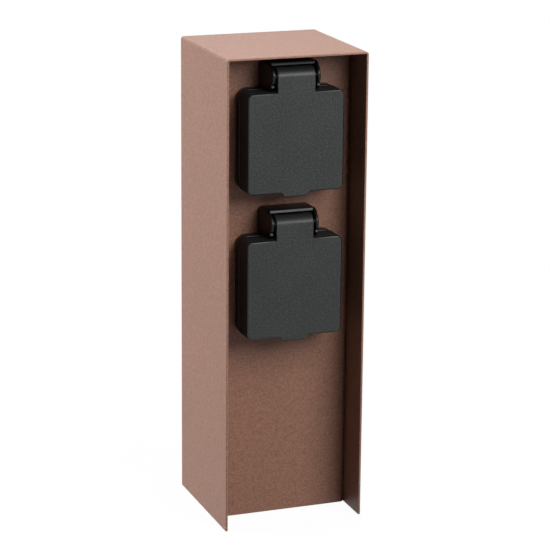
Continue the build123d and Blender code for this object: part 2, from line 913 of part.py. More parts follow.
def carrier_screws():
    length = carrier_back + floor_back + carrier_screw_bite
    return [
        pan_screw(carrier_screw, m3_head, m3_head_height, length,
                  (x, carrier_back, carrier_screw_z), (0, -1, 0))
        for x in (-carrier_screw_x, carrier_screw_x)
    ]


def shutter():
    half = shutter_width / 2
    front = floor_back - shutter_gap
    plate = block((-half, half), (-front, shutter_thick - front), (-shutter_height / 2, shutter_height / 2))
    for side in (-1, 1):
        ramp = Pos(side * pin_spacing / 2, -front, 0) * Rot(shutter_ramp, 0, 0)
        plate -= ramp * Pos(0, -shutter_thick / 2, 0) * Box(2 * pin_hole, shutter_thick, 3 * shutter_height)
    return plate


def shutter_spring():
    low, high = shutter_height / 2 + shutter_coil_end, shutter_room_top - shutter_coil_end
    middle = -(floor_back - shutter_gap - shutter_thick / 2)
    radius = shutter_coil
    pitch = (high - low - shutter_wire) / shutter_coil_turns
    climb = pitch / (2 * math.pi * radius)

    def point_at(turns):
        angle = 2 * math.pi * turns
        height = low + shutter_wire / 2 + pitch * turns
        return Vector(radius * math.cos(angle), middle + radius * math.sin(angle), height)

    def direction_at(turns):
        angle = 2 * math.pi * turns
        return Vector(-math.sin(angle), math.cos(angle), climb).normalized()

    coil = coil_edges(point_at, direction_at, 4 * shutter_coil_turns)
    return sweep_wire(coil, shutter_wire / 2, "shutter spring", 2 * math.pi * radius)


def pin_contact(side):
    middle = side * pin_spacing / 2
    size = contact_size / 2
    body = block((middle - size, middle + size), (-contact_front, -terminal_back), (-size, size))
    body -= disc(contact_bore, contact_front - contact_bore_depth, contact_front + 1, middle)
    slot = contact_slot / 2
    slot_end = contact_slot_share * contact_bore_depth - contact_front
    body -= block((middle - slot, middle + slot), (-contact_front - 1, slot_end), (-size - 1, size + 1))
    body -= disc(terminal_bore, terminal_back - 1, terminal_back + terminal_bore_depth, middle)
    screw_y = -terminal_back - terminal_screw_inset
    outer = middle + side * (size + 1)
    return body - rod(m3, (middle, screw_y, 0), (outer, screw_y, 0))


def earth_contact():
    nose = earth_offset - earth_nose
    arm = [
        (earth_front, earth_offset - earth_mouth),
        (earth_front - earth_crest, nose),
        (earth_front - earth_heel, earth_offset),
        (earth_back + earth_thick / 2, earth_offset),
    ]
    strip = ribbon(arm + [(u, -z) for u, z in reversed(arm)], earth_thick, earth_width)
    size = contact_size / 2
    low, high = earth_terminal_low, earth_terminal_low + contact_size
    strip += block((-size, size), (-earth_back - earth_thick / 2, -earth_terminal_back), (low, high))
    middle = (low + high) / 2
    bore_end = earth_terminal_back + terminal_bore_depth
    strip -= disc(terminal_bore, earth_terminal_back - 1, bore_end, 0, middle)
    screw_y = -earth_terminal_back - terminal_screw_inset
    return strip - rod(m3, (0, screw_y, middle), (0, screw_y, high + 1))


def socket_terminal_screws():
    screws = []
    screw_y = -terminal_back - terminal_screw_inset
    size = contact_size / 2
    for side in (-1, 1):
        middle = side * pin_spacing / 2
        seat = (middle + side * size, screw_y, 0)
        screws.append(pan_screw(m3, m3_head, m3_head_height, size - terminal_bore, seat, (-side, 0, 0)))
    top = earth_terminal_low + contact_size
    seat = (0, -earth_terminal_back - terminal_screw_inset, top)
    screws.append(pan_screw(m3, m3_head, m3_head_height, size - terminal_bore, seat, (0, 0, -1)))
    return screws


def fixing_screws():
    seat = flange_front - fixing_head_height
    return [
        pan_screw(fixing_radius, fixing_head, fixing_head_height, fixing_length, (x, -seat, z), (0, 1, 0))
        for x, z in corners(fixing_spacing)
    ]


def fixing_nuts():
    nuts = []
    for x, z in corners(fixing_spacing):
        near, far = (x, panel_sheet, z), (x, panel_sheet + fixing_nut_height, z)
        nuts.append(hex_rod(fixing_nut_across, near, far) - rod(fixing_radius, near, far))
    return nuts


# Leads from the terminal block to the sockets

def terminal_points(height):
    earth_middle = earth_terminal_low + contact_size / 2
    return {
        "live": (-pin_spacing / 2, panel_front - terminal_back, height),
        "earth": (0.0, panel_front - earth_terminal_back, height + earth_middle),
        "neutral": (pin_spacing / 2, panel_front - terminal_back, height),
    }


def socket_lead(which, pole):
    offset = lead_offsets()[pole]
    height = socket_heights[which]
    x, y, z = terminal_points(height)[pole]
    start_x = offset + (gland_x if which == "upper" else -gland_x)
    gland_top = box_top + gland_hex_height + gland_nut_height + lead_straight
    rise = lead_rise_share * (lower_socket_height - body_radius - gland_top)
    points = [(start_x, gland_y, gland_top), (start_x, gland_y, gland_top + rise)]
    below = height - lead_below
    if which == "upper":
        lane = upper_lane + offset
        low, middle, high = [gland_top + share * (below - gland_top) for share in lane_shares]
        bow_x, bow_y = lane_bow
        points += [
            (lane, back_run, low),
            (lane + bow_x, back_run + bow_y, middle),
            (lane, back_run, high),
        ]
    points += [(x, back_run, below), (x, back_run, z), (x, y, z)]
    start = (start_x, gland_y, box_middle + block_height / 2)
    return lead_tube(which + " " + pole + " lead", start, points)


def write(name, shape):
    solids = shape if isinstance(shape, list) else [shape]
    group = Compound(children=[solid for item in solids for solid in item.solids()])
    export_step(group, "parts/" + name + ".step")


post_pieces = {
    "post_hood": post_hood,
    "front_panel": front_panel,
    "rear_cover": rear_cover,
    "rear_cover_screws": rear_cover_screws,
    "rear_cover_nuts": rear_cover_nuts,
    "base_plate": base_plate,
    "cable_grommet": cable_grommet,
    "weld_studs": weld_studs,
    "stud_nuts": stud_nuts,
    "earth_lug": earth_lug,
    "earth_lead": earth_lead,
    "junction_box": junction_box,
    "junction_gasket": junction_gasket,
    "junction_lid": junction_lid,
    "junction_lid_screws": junction_lid_screws,
    "gland_bodies": gland_bodies,
    "gland_nuts": gland_nuts,
    "gland_seals": gland_seals,
    "supply_gland_seal": supply_gland_seal,
    "terminal_block": terminal_block,
    "terminal_screws": terminal_screws,
}

socket_pieces = {
    "housing": housing,
    "flange_gasket": gasket,
    "lid": lid,
    "lid_seal": lid_seal,
    "hinge_pin": hinge_pin,
    "lid_spring": lid_spring,
    "insert": insert,
    "contact_carrier": carrier,
    "shutter": shutter,
    "shutter_spring": shutter_spring,
    "live_contact": lambda: pin_contact(-1),
    "neutral_contact": lambda: pin_contact(1),
    "earth_contact": earth_contact,
}

shared_fasteners = {
    "socket_fixing_screws": fixing_screws,
    "socket_fixing_nuts": fixing_nuts,
    "socket_terminal_screws": socket_terminal_screws,
    "contact_carrier_screws": carrier_screws,
}

os.makedirs("parts", exist_ok=True)
for name, make in post_pieces.items():
    write(name, make())
for name, make in socket_pieces.items():
    piece = make()
    for which, height in socket_heights.items():
        write(which + "_" + name, Pos(0, panel_front, height) * piece)
for name, make in shared_fasteners.items():
    group = make()
    write(name, [Pos(0, panel_front, height) * solid
                 for height in socket_heights.values() for solid in group])
for which in socket_heights:
    for pole in lead_offsets():
        write(which + "_" + pole + "_lead", socket_lead(which, pole))
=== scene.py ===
import json
import math
import bpy
import bmesh
from mathutils import Matrix, Vector
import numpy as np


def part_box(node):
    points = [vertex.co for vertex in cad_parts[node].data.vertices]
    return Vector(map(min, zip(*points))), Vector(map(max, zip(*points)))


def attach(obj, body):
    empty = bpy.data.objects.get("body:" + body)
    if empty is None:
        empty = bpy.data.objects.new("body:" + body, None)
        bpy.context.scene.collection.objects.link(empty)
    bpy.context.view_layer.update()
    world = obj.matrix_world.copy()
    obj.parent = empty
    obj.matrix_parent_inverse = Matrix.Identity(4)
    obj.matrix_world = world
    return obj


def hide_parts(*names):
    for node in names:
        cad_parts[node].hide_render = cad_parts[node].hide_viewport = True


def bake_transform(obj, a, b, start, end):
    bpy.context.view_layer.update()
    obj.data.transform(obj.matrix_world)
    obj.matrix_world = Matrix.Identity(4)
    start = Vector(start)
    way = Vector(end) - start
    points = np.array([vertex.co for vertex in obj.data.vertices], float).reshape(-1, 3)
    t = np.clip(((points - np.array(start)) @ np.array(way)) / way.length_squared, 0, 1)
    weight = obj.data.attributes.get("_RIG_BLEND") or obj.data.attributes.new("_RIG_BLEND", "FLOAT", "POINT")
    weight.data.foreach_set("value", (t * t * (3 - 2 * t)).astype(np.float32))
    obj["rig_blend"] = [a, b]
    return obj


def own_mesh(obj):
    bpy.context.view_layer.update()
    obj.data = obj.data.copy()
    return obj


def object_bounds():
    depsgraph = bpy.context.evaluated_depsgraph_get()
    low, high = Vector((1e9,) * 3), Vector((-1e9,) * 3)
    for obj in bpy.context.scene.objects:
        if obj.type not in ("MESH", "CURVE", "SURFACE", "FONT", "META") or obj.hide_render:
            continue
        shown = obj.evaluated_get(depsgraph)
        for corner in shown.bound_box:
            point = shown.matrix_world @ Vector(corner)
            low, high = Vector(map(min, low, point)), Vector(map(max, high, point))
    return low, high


# A garden socket column: folded sheet post, two sprung lids, everything in metres.
# The sockets face -Y, and the CAD frame carries the moving bodies.

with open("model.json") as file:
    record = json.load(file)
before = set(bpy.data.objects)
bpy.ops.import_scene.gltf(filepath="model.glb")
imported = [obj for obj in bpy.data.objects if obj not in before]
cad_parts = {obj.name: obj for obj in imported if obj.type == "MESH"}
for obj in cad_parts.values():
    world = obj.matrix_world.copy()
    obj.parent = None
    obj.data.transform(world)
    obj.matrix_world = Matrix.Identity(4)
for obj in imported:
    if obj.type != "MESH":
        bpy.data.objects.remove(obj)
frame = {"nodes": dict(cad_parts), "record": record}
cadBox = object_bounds()
mm = 0.001
print("frame loaded")


def measured(length):
    # A length from the frame, to a ten-thousandth of a millimetre
    return round(length, 7)


def middleHeight(node):
    low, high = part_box(node)
    return measured((low[2] + high[2]) / 2)


wide, deep, tall = [measured(part) for part in cadBox[1]]
post = {
    "halfWidth": wide, "halfDepth": deep, "height": tall,
    "sheet": 1.5 * mm, "bend": 2 * mm, "rim": 0.35 * mm, "steps": 8,
    "panelFace": measured(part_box("front_panel")[0][1]),
}
socketHeights = {which: middleHeight(which + "_insert") for which in ("lower", "upper")}


# Node trees

class Value:
    # A node's output that Python arithmetic works on
    def __init__(self, tree, socket):
        self.tree = tree
        self.socket = socket

    def __add__(self, other):
        return self.tree.math("ADD", self, other)

    def __radd__(self, other):
        return self.tree.math("ADD", other, self)

    def __sub__(self, other):
        return self.tree.math("SUBTRACT", self, other)

    def __rsub__(self, other):
        return self.tree.math("SUBTRACT", other, self)

    def __mul__(self, other):
        return self.tree.math("MULTIPLY", self, other)

    def __rmul__(self, other):
        return self.tree.math("MULTIPLY", other, self)

    def __truediv__(self, other):
        return self.tree.math("DIVIDE", self, other)

    def __rtruediv__(self, other):
        return self.tree.math("DIVIDE", other, self)

    def __pow__(self, other):
        return self.tree.math("POWER", self, other)

    def __gt__(self, other):
        return self.tree.math("GREATER_THAN", self, other)

    def __lt__(self, other):
        return self.tree.math("LESS_THAN", self, other)

    def __neg__(self):
        return self.tree.math("MULTIPLY", self, -1.0)

    def clamp(self):
        return self.tree.add("ShaderNodeClamp", {}, {"Value": self})

    def swing(self, amount):
        # A pattern from 0 to 1 moved to lie about zero
        return (self - 0.5) * amount


class Tree:
    # Adds nodes to a material or a geometry tree
    def __init__(self, nodeTree):
        self.nodeTree = nodeTree
        self.last = None

    def add(self, kind, settings=None, inputs=None, out=0):
        node = self.nodeTree.nodes.new(kind)
        for key, value in (settings or {}).items():
            setattr(node, key, value)
        for key, value in (inputs or {}).items():
            if isinstance(value, Value):
                self.nodeTree.links.new(value.socket, node.inputs[key])
            else:
                node.inputs[key].default_value = value
        self.last = node
        return Value(self, node.outputs[out]) if len(node.outputs) else None

    def math(self, operation, *values):
        return self.add("ShaderNodeMath", {"operation": operation}, dict(enumerate(values)))

    def output(self, out):
        return Value(self, self.last.outputs[out])

    def mixColor(self, factor, first, second):
        # Set to colours, a Mix node takes them at inputs 6 and 7 and gives output 2
        settings = {"data_type": "RGBA", "clamp_factor": True}
        return self.add("ShaderNodeMix", settings, {0: factor, 6: first, 7: second}, 2)

    def vector(self, operation, *values, out=0):
        return self.add("ShaderNodeVectorMath", {"operation": operation}, dict(enumerate(values)), out)

    def combine(self, x, y, z):
        return self.add("ShaderNodeCombineXYZ", {}, {"X": x, "Y": y, "Z": z})

    def split(self, vector):
        self.add("ShaderNodeSeparateXYZ", {}, {"Vector": vector})
        return [self.output(axis) for axis in "XYZ"]


def color(red, green, blue):
    return (red, green, blue, 1.0)


# Finishes

class Finish(Tree):
    # A material with one Principled shader, patterned on Object coordinates
    def __init__(self, name, shift=(0, 0, 0)):
        self.material = bpy.data.materials.new(name)
        self.material.use_nodes = True
        super().__init__(self.material.node_tree)
        self.nodeTree.nodes.clear()
        self.shader = self.nodeTree.nodes.new("ShaderNodeBsdfPrincipled")
        output = self.nodeTree.nodes.new("ShaderNodeOutputMaterial")
        self.nodeTree.links.new(self.shader.outputs[0], output.inputs[0])
        self.add("ShaderNodeTexCoord")
        place = self.output("Object")
        self.place = self.add("ShaderNodeMapping", {}, {"Vector": place, "Location": shift})

    def noise(self, size, detail=2.0, rough=0.5, stretch=None):
        place = self.vector("MULTIPLY", self.place, stretch) if stretch else self.place
        inputs = {"Vector": place, "Scale": 1 / size, "Detail": detail, "Roughness": rough}
        return self.add("ShaderNodeTexNoise", {}, inputs)

    def cells(self, size, out="Color"):
        self.add("ShaderNodeTexVoronoi", {}, {"Vector": self.place, "Scale": 1 / size})
        return self.output(out)

    def flakes(self, size):
        # Each cell has one even value of its own
        return self.split(self.cells(size))[0]

    def edge(self):
        # 1 on the rounded edges, 0 elsewhere
        return self.add("ShaderNodeAttribute", {"attribute_name": "edge"}, {}, "Fac")

    def bump(self, height, settings):
        inputs = {"Height": height, "Distance": settings["depth"], "Strength": settings["bump"]}
        return self.add("ShaderNodeBump", {}, inputs)

    def shade(self, **inputs):
        names = {
            "baseColor": "Base Color", "roughness": "Roughness", "metallic": "Metallic",
            "specular": "Specular IOR Level", "ior": "IOR", "normal": "Normal",
        }
        for key, value in inputs.items():
            target = self.shader.inputs[names[key]]
            if isinstance(value, Value):
                self.nodeTree.links.new(value.socket, target)
            else:
                target.default_value = value
        return self.material


powder = {
    "dark": color(0.150, 0.070, 0.0445), "light": color(0.342, 0.167, 0.111),
    # The edge colour is paler, partly as wear and partly as a painted highlight line
    "wearAndHighlight": color(0.52, 0.38, 0.32), "wearAndHighlightShare": 0.1,
    "grain": 1.2 * mm, "grainTone": 1.7, "grainRoughness": 0.22, "grainHeight": 0.9,
    "fleck": 1.5 * mm, "fleckTone": 0.28, "fleckHeight": 0.25,
    "peel": 2.6 * mm, "peelHeight": 0.6,
    "cloud": 60 * mm, "cloudTone": 0.16, "cloudRoughness": 0.06,
    "roughness": 0.50, "depth": 0.12 * mm, "bump": 0.8,
}


def powderCoat():
    # Fine-textured rust brown: light and dark grains, a slight orange peel
    finish = Finish("rustPowderCoat")
    grain = finish.noise(powder["grain"], detail=2.5, rough=0.62)
    fleck = finish.flakes(powder["fleck"])
    cloud = finish.noise(powder["cloud"])
    peel = finish.noise(powder["peel"], detail=1.0)
    tone = 0.5 + grain.swing(powder["grainTone"]) + fleck.swing(powder["fleckTone"])
    tone = (tone + cloud.swing(powder["cloudTone"])).clamp()
    base = finish.mixColor(tone, powder["dark"], powder["light"])
    # Paler on the cut edges and folds: partly a thinner film, partly a painted highlight line
    base = finish.mixColor(finish.edge() * powder["wearAndHighlightShare"], base, powder["wearAndHighlight"])
    roughness = powder["roughness"] + grain.swing(powder["grainRoughness"])
    roughness = (roughness + cloud.swing(powder["cloudRoughness"])).clamp()
    height = grain * powder["grainHeight"] + fleck * powder["fleckHeight"] + peel * powder["peelHeight"]
    return finish.shade(
        baseColor=base, roughness=roughness, specular=0.5, ior=1.5, normal=finish.bump(height, powder),
    )


moulding = {
    # What the plastics share, unless one has its own
    "grainTone": 2.2, "grainRoughness": 0.18, "pitWidth": 1.6, "pitHeight": 0.5,
    "cloud": 25 * mm, "cloudTone": 0.5, "cloudRoughness": 0.08,
    "skinRelief": 0.15, "specular": 0.5, "bump": 0.7,
}


def mouldedPlastic(name, own, shift=(0, 0, 0)):
    # Moulded plastic with a spark-eroded grain, and a smoother skin off the grained face; on the lids that
    # skin is painted near black as shade
    settings = {**moulding, **own}
    finish = Finish(name, shift)
    grain = finish.noise(settings["grain"], rough=0.55)
    pits = finish.cells(settings["grain"] * settings["pitWidth"], "Distance")
    broad = finish.noise(settings["cloud"])
    tone = (0.5 + grain.swing(settings["grainTone"]) + broad.swing(settings["cloudTone"])).clamp()
    base = finish.mixColor(tone, settings["dark"], settings["light"])
    roughness = settings["roughness"] + grain.swing(settings["grainRoughness"])
    roughness = roughness + broad.swing(settings["cloudRoughness"])
    grained = 1.0
    if "face" in settings:
        x, y, z = finish.split(finish.place)
        # The barrel over the hinge is grained up to its top, which is painted dark as the shade under the
        # hinge roof
        low, fade, high = settings["knuckle"]
        above = ((z - low) / settings["knuckleStart"]).clamp()
        knuckle = above * ((high - z) / (high - fade)).clamp()
        grained = (((settings["face"] - y) / settings["faceStart"]).clamp() + knuckle).clamp()
        # Off the face the colour is the painted near-black shade of the sides, the rim and the barrel's top
        base = finish.mixColor(grained, settings["side"], base)
        roughness = roughness * grained + settings["skin"] * (1 - grained)
        roughness = roughness - knuckle * settings["knuckleSheen"]
        # The rounded rim round the face is smooth
        inward = y - settings["face"]
        rim = (inward / settings["rimStart"]).clamp() * (settings["rim"] / inward - 1).clamp() * (1 - above)
        roughness = roughness + (settings["polish"] - roughness) * rim
    if "wearAndHighlight" in settings:
        # Rounded edges are rubbed smooth, and their paler colour is partly wear and partly a painted
        # highlight
        edge = finish.edge()
        base = finish.mixColor(edge * settings["wearAndHighlightShare"], base, settings["wearAndHighlight"])
        roughness = roughness * (1 - edge) + edge * settings["polish"]
    relief = grained * (1 - settings["skinRelief"]) + settings["skinRelief"]
    height = (grain + pits * settings["pitHeight"]) * relief
    return finish.shade(
        baseColor=base, roughness=roughness.clamp(), specular=settings["specular"], ior=1.5,
        normal=finish.bump(height, settings),
    )


metal = {
    # What the metals share
    "lines": 0.35 * mm, "lineRoughness": 0.2, "flakeRoughness": 0.1,
    "cloudTone": 1.2, "cloudRoughness": 0.16, "bump": 0.5,
}


def metalFinish(name, own):
    # Plated or turned metal: fine drawn lines along one way, soft cloudy tarnish
    settings = {**metal, **own}
    finish = Finish(name)
    lines = finish.noise(settings["lines"], detail=3.0, rough=0.6, stretch=settings["stretch"])
    cloud = finish.noise(settings["cloud"], detail=3.0, rough=0.55)
    flake = finish.flakes(settings["flake"])
    tone = (0.5 + cloud.swing(settings["cloudTone"]) + flake.swing(settings["spangle"])).clamp()
    base = finish.mixColor(tone, settings["dark"], settings["light"])
    roughness = settings["roughness"] + lines.swing(settings["lineRoughness"])
    roughness = roughness + flake.swing(settings["flakeRoughness"]) + cloud.swing(settings["cloudRoughness"])
    return finish.shade(
        baseColor=base, metallic=1.0, roughness=roughness.clamp(),
        normal=finish.bump(lines + cloud, settings),
    )


rubber = {
    "dark": color(0.012, 0.012, 0.013), "light": color(0.034, 0.034, 0.035),
    "dust": 0.5 * mm, "dustTone": 1.2, "dustRoughness": 0.2, "cloud": 9 * mm, "cloudTone": 0.8,
    "roughness": 0.72, "specular": 0.4, "depth": 0.04 * mm, "bump": 0.6,
}


def rubberFinish():
    finish = Finish("mattRubber")
    dust = finish.noise(rubber["dust"], detail=3.0, rough=0.7)
    broad = finish.noise(rubber["cloud"])
    tone = (0.5 + dust.swing(rubber["dustTone"]) + broad.swing(rubber["cloudTone"])).clamp()
    base = finish.mixColor(tone, rubber["dark"], rubber["light"])
    roughness = rubber["roughness"] + dust.swing(rubber["dustRoughness"])
    return finish.shade(
        baseColor=base, roughness=roughness.clamp(), specular=rubber["specular"],
        normal=finish.bump(dust + broad, rubber),
    )


insulation = {
    "haze": 1.2 * mm, "shade": 0.82, "roughness": 0.38, "hazeRoughness": 0.2, "depth": 0.03 * mm, "bump": 0.5,
    "stripePitch": 3.4 * mm, "stripeSlant": (0.6, 0.25), "stripeEdge": 0.25,
}


def insulationFinish(name, main, stripe=None):
    finish = Finish(name)
    haze = finish.noise(insulation["haze"])
    base = finish.mixColor(haze, main, color(*[insulation["shade"] * part for part in main[:3]]))
    if stripe:
        x, y, z = finish.split(finish.place)
        slantY, slantZ = insulation["stripeSlant"]
        turns = (x + y * slantY + z * slantZ) * (2 * math.pi / insulation["stripePitch"])
        base = finish.mixColor(finish.math("SINE", turns) > insulation["stripeEdge"], base, stripe)
    roughness = insulation["roughness"] + haze.swing(insulation["hazeRoughness"])
    return finish.shade(baseColor=base, roughness=roughness.clamp(), normal=finish.bump(haze, insulation))


stage = {
    "floorWhite": 0.96, "shadowReach": 0.5, "floorSheen": 0.88, "glossySky": 0.85, "floorHalf": 6.0,
    "floorColor": color(0.86, 0.87, 0.87), "floorBounce": color(0.05, 0.05, 0.05),
}


def plainFloor():
    # White to the camera and in reflections, with the object's own soft shadow kept
    material = bpy.data.materials.new("paleFloor")
    material.use_nodes = True
    tree = Tree(material.node_tree)
    material.node_tree.nodes.clear()
    tree.add("ShaderNodeLightPath")
    cameraRay, glossyRay = tree.output("Is Camera Ray"), tree.output("Is Glossy Ray")
    pale = tree.mixColor(cameraRay, stage["floorBounce"], stage["floorColor"])
    diffuse = tree.add("ShaderNodeBsdfDiffuse", {}, {"Color": pale})
    glow = tree.add("ShaderNodeEmission", {}, {"Color": color(1, 1, 1), "Strength": 1.0})
    tree.add("ShaderNodeTexCoord")
    reach = tree.vector("LENGTH", tree.output("Object"), out=1)
    far = ((reach - stage["shadowReach"]) / stage["shadowReach"]).clamp()
    white = stage["floorWhite"] + far * (1 - stage["floorWhite"])
    share = cameraRay * white + glossyRay * stage["floorSheen"]
    both = tree.add("ShaderNodeMixShader", {}, {0: share, 1: diffuse, 2: glow})
    tree.add("ShaderNodeOutputMaterial", {}, {"Surface": both})
    return material


blackGrained = {
    "dark": color(0.0050, 0.0059, 0.0057), "light": color(0.0305, 0.0345, 0.0335),
    "grain": 1.2 * mm, "grainTone": 2.7,
    # The paler edge colour is partly wear and partly a painted highlight line
    "wearAndHighlight": color(0.050, 0.052, 0.052), "wearAndHighlightShare": 0.6, "polish": 0.2,
    "depth": 0.06 * mm, "roughness": 0.50, "specular": 0.42,
}
lidPlastic = {
    # The smooth sides with their painted near-black shade colour, the rim round the face, and the knuckle's
    # heights above the socket's middle
    **blackGrained, "face": -45.46 * mm, "faceStart": 0.03 * mm, "rim": 1.2 * mm, "rimStart": 0.04 * mm,
    "side": color(0.0009, 0.0010, 0.0010), "skin": 0.75,
    "knuckle": (37.5 * mm, 46.0 * mm, 48.2 * mm), "knuckleStart": 0.3 * mm, "knuckleSheen": 0.06,
}
finishes = {
    "powder_coat": powderCoat(),
    "black_plastic": mouldedPlastic("charcoalPlastic", {
        **blackGrained, "dark": color(0.0009, 0.0010, 0.0010), "light": color(0.0030, 0.0033, 0.0034),
        "roughness": 0.36, "specular": 0.25, "depth": 0.006 * mm}),
    "insert_plastic": mouldedPlastic("wellPlastic", {
        **blackGrained, "dark": color(0.014, 0.015, 0.015), "light": color(0.034, 0.036, 0.037),
        "roughness": 0.40, "depth": 0.015 * mm}),
    "grey_plastic": mouldedPlastic("greyMoulding", {
        "dark": color(0.36, 0.37, 0.38), "light": color(0.45, 0.46, 0.47), "grain": 0.6 * mm,
        "depth": 0.02 * mm, "roughness": 0.46}),
    "pale_plastic": mouldedPlastic("paleMoulding", {
        "dark": color(0.74, 0.72, 0.66), "light": color(0.84, 0.82, 0.76), "grain": 0.8 * mm,
        "depth": 0.015 * mm, "roughness": 0.38}),
    "rubber": rubberFinish(),
    "steel": metalFinish("turnedSteel", {
        "dark": color(0.42, 0.42, 0.42), "light": color(0.62, 0.62, 0.61), "stretch": (1, 0.1, 1),
        "cloud": 5 * mm, "flake": 0.8 * mm, "spangle": 0.2, "roughness": 0.30, "depth": 0.01 * mm}),
    "zinc": metalFinish("brightZinc", {
        "dark": color(0.44, 0.45, 0.47), "light": color(0.66, 0.67, 0.69), "stretch": (1, 1, 0.2),
        "cloud": 14 * mm, "flake": 4.5 * mm, "spangle": 0.55, "roughness": 0.38, "depth": 0.02 * mm}),
    "spring_steel": metalFinish("springWire", {
        "dark": color(0.34, 0.34, 0.35), "light": color(0.56, 0.56, 0.57), "stretch": (0.3, 1, 1),
        "cloud": 2 * mm, "flake": 0.5 * mm, "spangle": 0.2, "roughness": 0.26, "depth": 0.008 * mm}),
    "brass": metalFinish("satinBrass", {
        "dark": color(0.52, 0.35, 0.12), "light": color(0.78, 0.58, 0.26), "stretch": (1, 0.15, 1),
        "cloud": 4 * mm, "flake": 0.9 * mm, "spangle": 0.25, "roughness": 0.30, "depth": 0.01 * mm}),
    "live_insulation": insulationFinish("brownInsulation", color(0.130, 0.045, 0.018)),
    "neutral_insulation": insulationFinish("blueInsulation", color(0.020, 0.120, 0.420)),
    "earth_insulation": insulationFinish(
        "stripedInsulation", color(0.62, 0.52, 0.03), color(0.02, 0.22, 0.04)),
}
# Each lid's pattern is placed about its own socket's middle, and the lower one is shifted aside
sideShift = {"lower": 13 * mm, "upper": 0}
for which, height in socketHeights.items():
    shift = (sideShift[which], 0, -height)
    finishes[which + "Lid"] = mouldedPlastic(which + "LidPlastic", lidPlastic, shift)
print("finishes made")


# Mesh helpers

def newObject(name, mesh):
    obj = bpy.data.objects.new(name, mesh)
    bpy.context.scene.collection.objects.link(obj)
    return obj


def evaluated(obj):
    graph = bpy.context.evaluated_depsgraph_get()
    return bpy.data.meshes.new_from_object(
        obj.evaluated_get(graph), preserve_all_data_layers=True, depsgraph=graph
    )


def bake(obj):
    # Modifiers applied: the evaluated object's mesh becomes its own
    mesh = evaluated(obj)
    obj.modifiers.clear()
    mesh.name = obj.name
    obj.data = mesh
    return obj


rounding = {
    # How sharp an edge is rounded, the room and breadth in widths of the rounding, and what counts as folded
    "angle": math.radians(32), "room": 1.1, "breadth": 1.2, "manySided": 12,
    "foldArea": 0.004 * mm * mm, "foldTurn": 0.7, "smoothTo": math.radians(40),
}


def weighEdges(mesh, width, sharpFaces):
    # Outer edges are marked for rounding where the edges and faces beside them have room for it
    work = bmesh.new()
    work.from_mesh(mesh)
    layers = work.edges.layers.float
    weight = layers.get("bevel_weight_edge") or layers.new("bevel_weight_edge")
    sharp = {edge for edge in work.edges if edge.is_convex and edge.calc_face_angle(0) > rounding["angle"]}
    roomy = {
        vertex for vertex in work.verts
        if all(edge in sharp or edge.calc_length() > width * rounding["room"] for edge in vertex.link_edges)
        and all(face.index not in sharpFaces for face in vertex.link_faces)
    }
    broad = {
        face for face in work.faces if len(face.edges) > rounding["manySided"]
        or face.calc_area() > width * rounding["breadth"] * max(edge.calc_length() for edge in face.edges)
    }
    for edge in sharp:
        edge[weight] = float(roomy.issuperset(edge.verts) and broad.issuperset(edge.link_faces))
    work.to_mesh(mesh)
    work.free()


def foldedFaces(mesh):
    # Source faces that the rounding has drawn in so far that they fold over
    mesh.calc_loop_triangles()
    source = mesh.attributes["source"].data
    return {
        source[part.polygon_index].value for part in mesh.loop_triangles
        if part.area > rounding["foldArea"]
        and part.normal.dot(mesh.polygons[part.polygon_index].normal) < rounding["foldTurn"]
    }


def softenEdges(obj, width=0, segments=3):
    # Rounded edges that catch the light and are marked for a paler colour, partly wear and partly a painted
    # highlight, with flat faces kept flat in shading
    if width:
        # Two empty slots: the second marks the rounding's own faces
        obj.data.materials.append(None)
        obj.data.materials.append(None)
        source = obj.data.attributes.new("source", "INT", "FACE")
        source.data.foreach_set("value", range(len(obj.data.polygons)))
        bevel = obj.modifiers.new("edges", "BEVEL")
        bevel.width = width
        bevel.segments = segments
        bevel.limit_method = "WEIGHT"
        bevel.use_clamp_overlap = False
        bevel.miter_outer = "MITER_ARC"
        bevel.material = 1
        sharpFaces, folded = set(), {-1}
        while folded:
            sharpFaces |= folded
            weighEdges(obj.data, width, sharpFaces)
            folded = foldedFaces(evaluated(obj)) - sharpFaces
        mesh = bake(obj).data
        mesh.attributes.remove(mesh.attributes["source"])
        mesh.attributes.new("edge", "FLOAT", "FACE").data.foreach_set(
            "value", [float(face.material_index) for face in mesh.polygons]
        )
    mesh = obj.data
    mesh.shade_smooth()
    mesh.set_sharp_from_angle(angle=rounding["smoothTo"])
    weights = obj.modifiers.new("normals", "WEIGHTED_NORMAL")
    weights.keep_sharp = True
    return bake(obj)


cleaning = {"weld": 0.002 * mm, "flat": math.radians(0.4)}


def cleanCopy(node, name):
    # A welded copy of a CAD node, with its flat faces joined up again
    mesh = frame["nodes"][node].data.copy()
    mesh.name = name
    mesh.materials.clear()
    work = bmesh.new()
    work.from_mesh(mesh)
    bmesh.ops.remove_doubles(work, verts=work.verts, dist=cleaning["weld"])
    bmesh.ops.dissolve_degenerate(work, edges=work.edges, dist=cleaning["weld"])
    bmesh.ops.dissolve_limit(work, angle_limit=cleaning["flat"], verts=work.verts, edges=work.edges)
    work.to_mesh(mesh)
    work.free()
    for old in [item.name for item in mesh.attributes if item.name.startswith("custom_normal")]:
        mesh.attributes.remove(mesh.attributes[old])
    return newObject(name, mesh)


def place(obj, body, slotName, material=None, nodes=()):
    obj.data.materials.clear()
    obj.data.materials.append(material or finishes[slotName])
    if body:
        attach(obj, body)
    if nodes:
        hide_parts(*nodes)
    return obj


def prism(name, outline, half):
    # A closed bar along X, whose section is the outline's (y, z) points
    count = len(outline)
    points = [(x, y, z) for x in (-half, half) for y, z in outline]
    caps = [list(range(count))[::-1], list(range(count, 2 * count))]
    sides = [[i, (i + 1) % count, count + (i + 1) % count, count + i] for i in range(count)]
    mesh = bpy.data.meshes.new(name)
    mesh.from_pydata(points, [], caps + sides)
    work = bmesh.new()
    work.from_mesh(mesh)
    bmesh.ops.recalc_face_normals(work, faces=work.faces)
    work.to_mesh(mesh)
    work.free()
    return newObject(name, mesh)


# Geometry trees: folded sheet, screws, wire coils

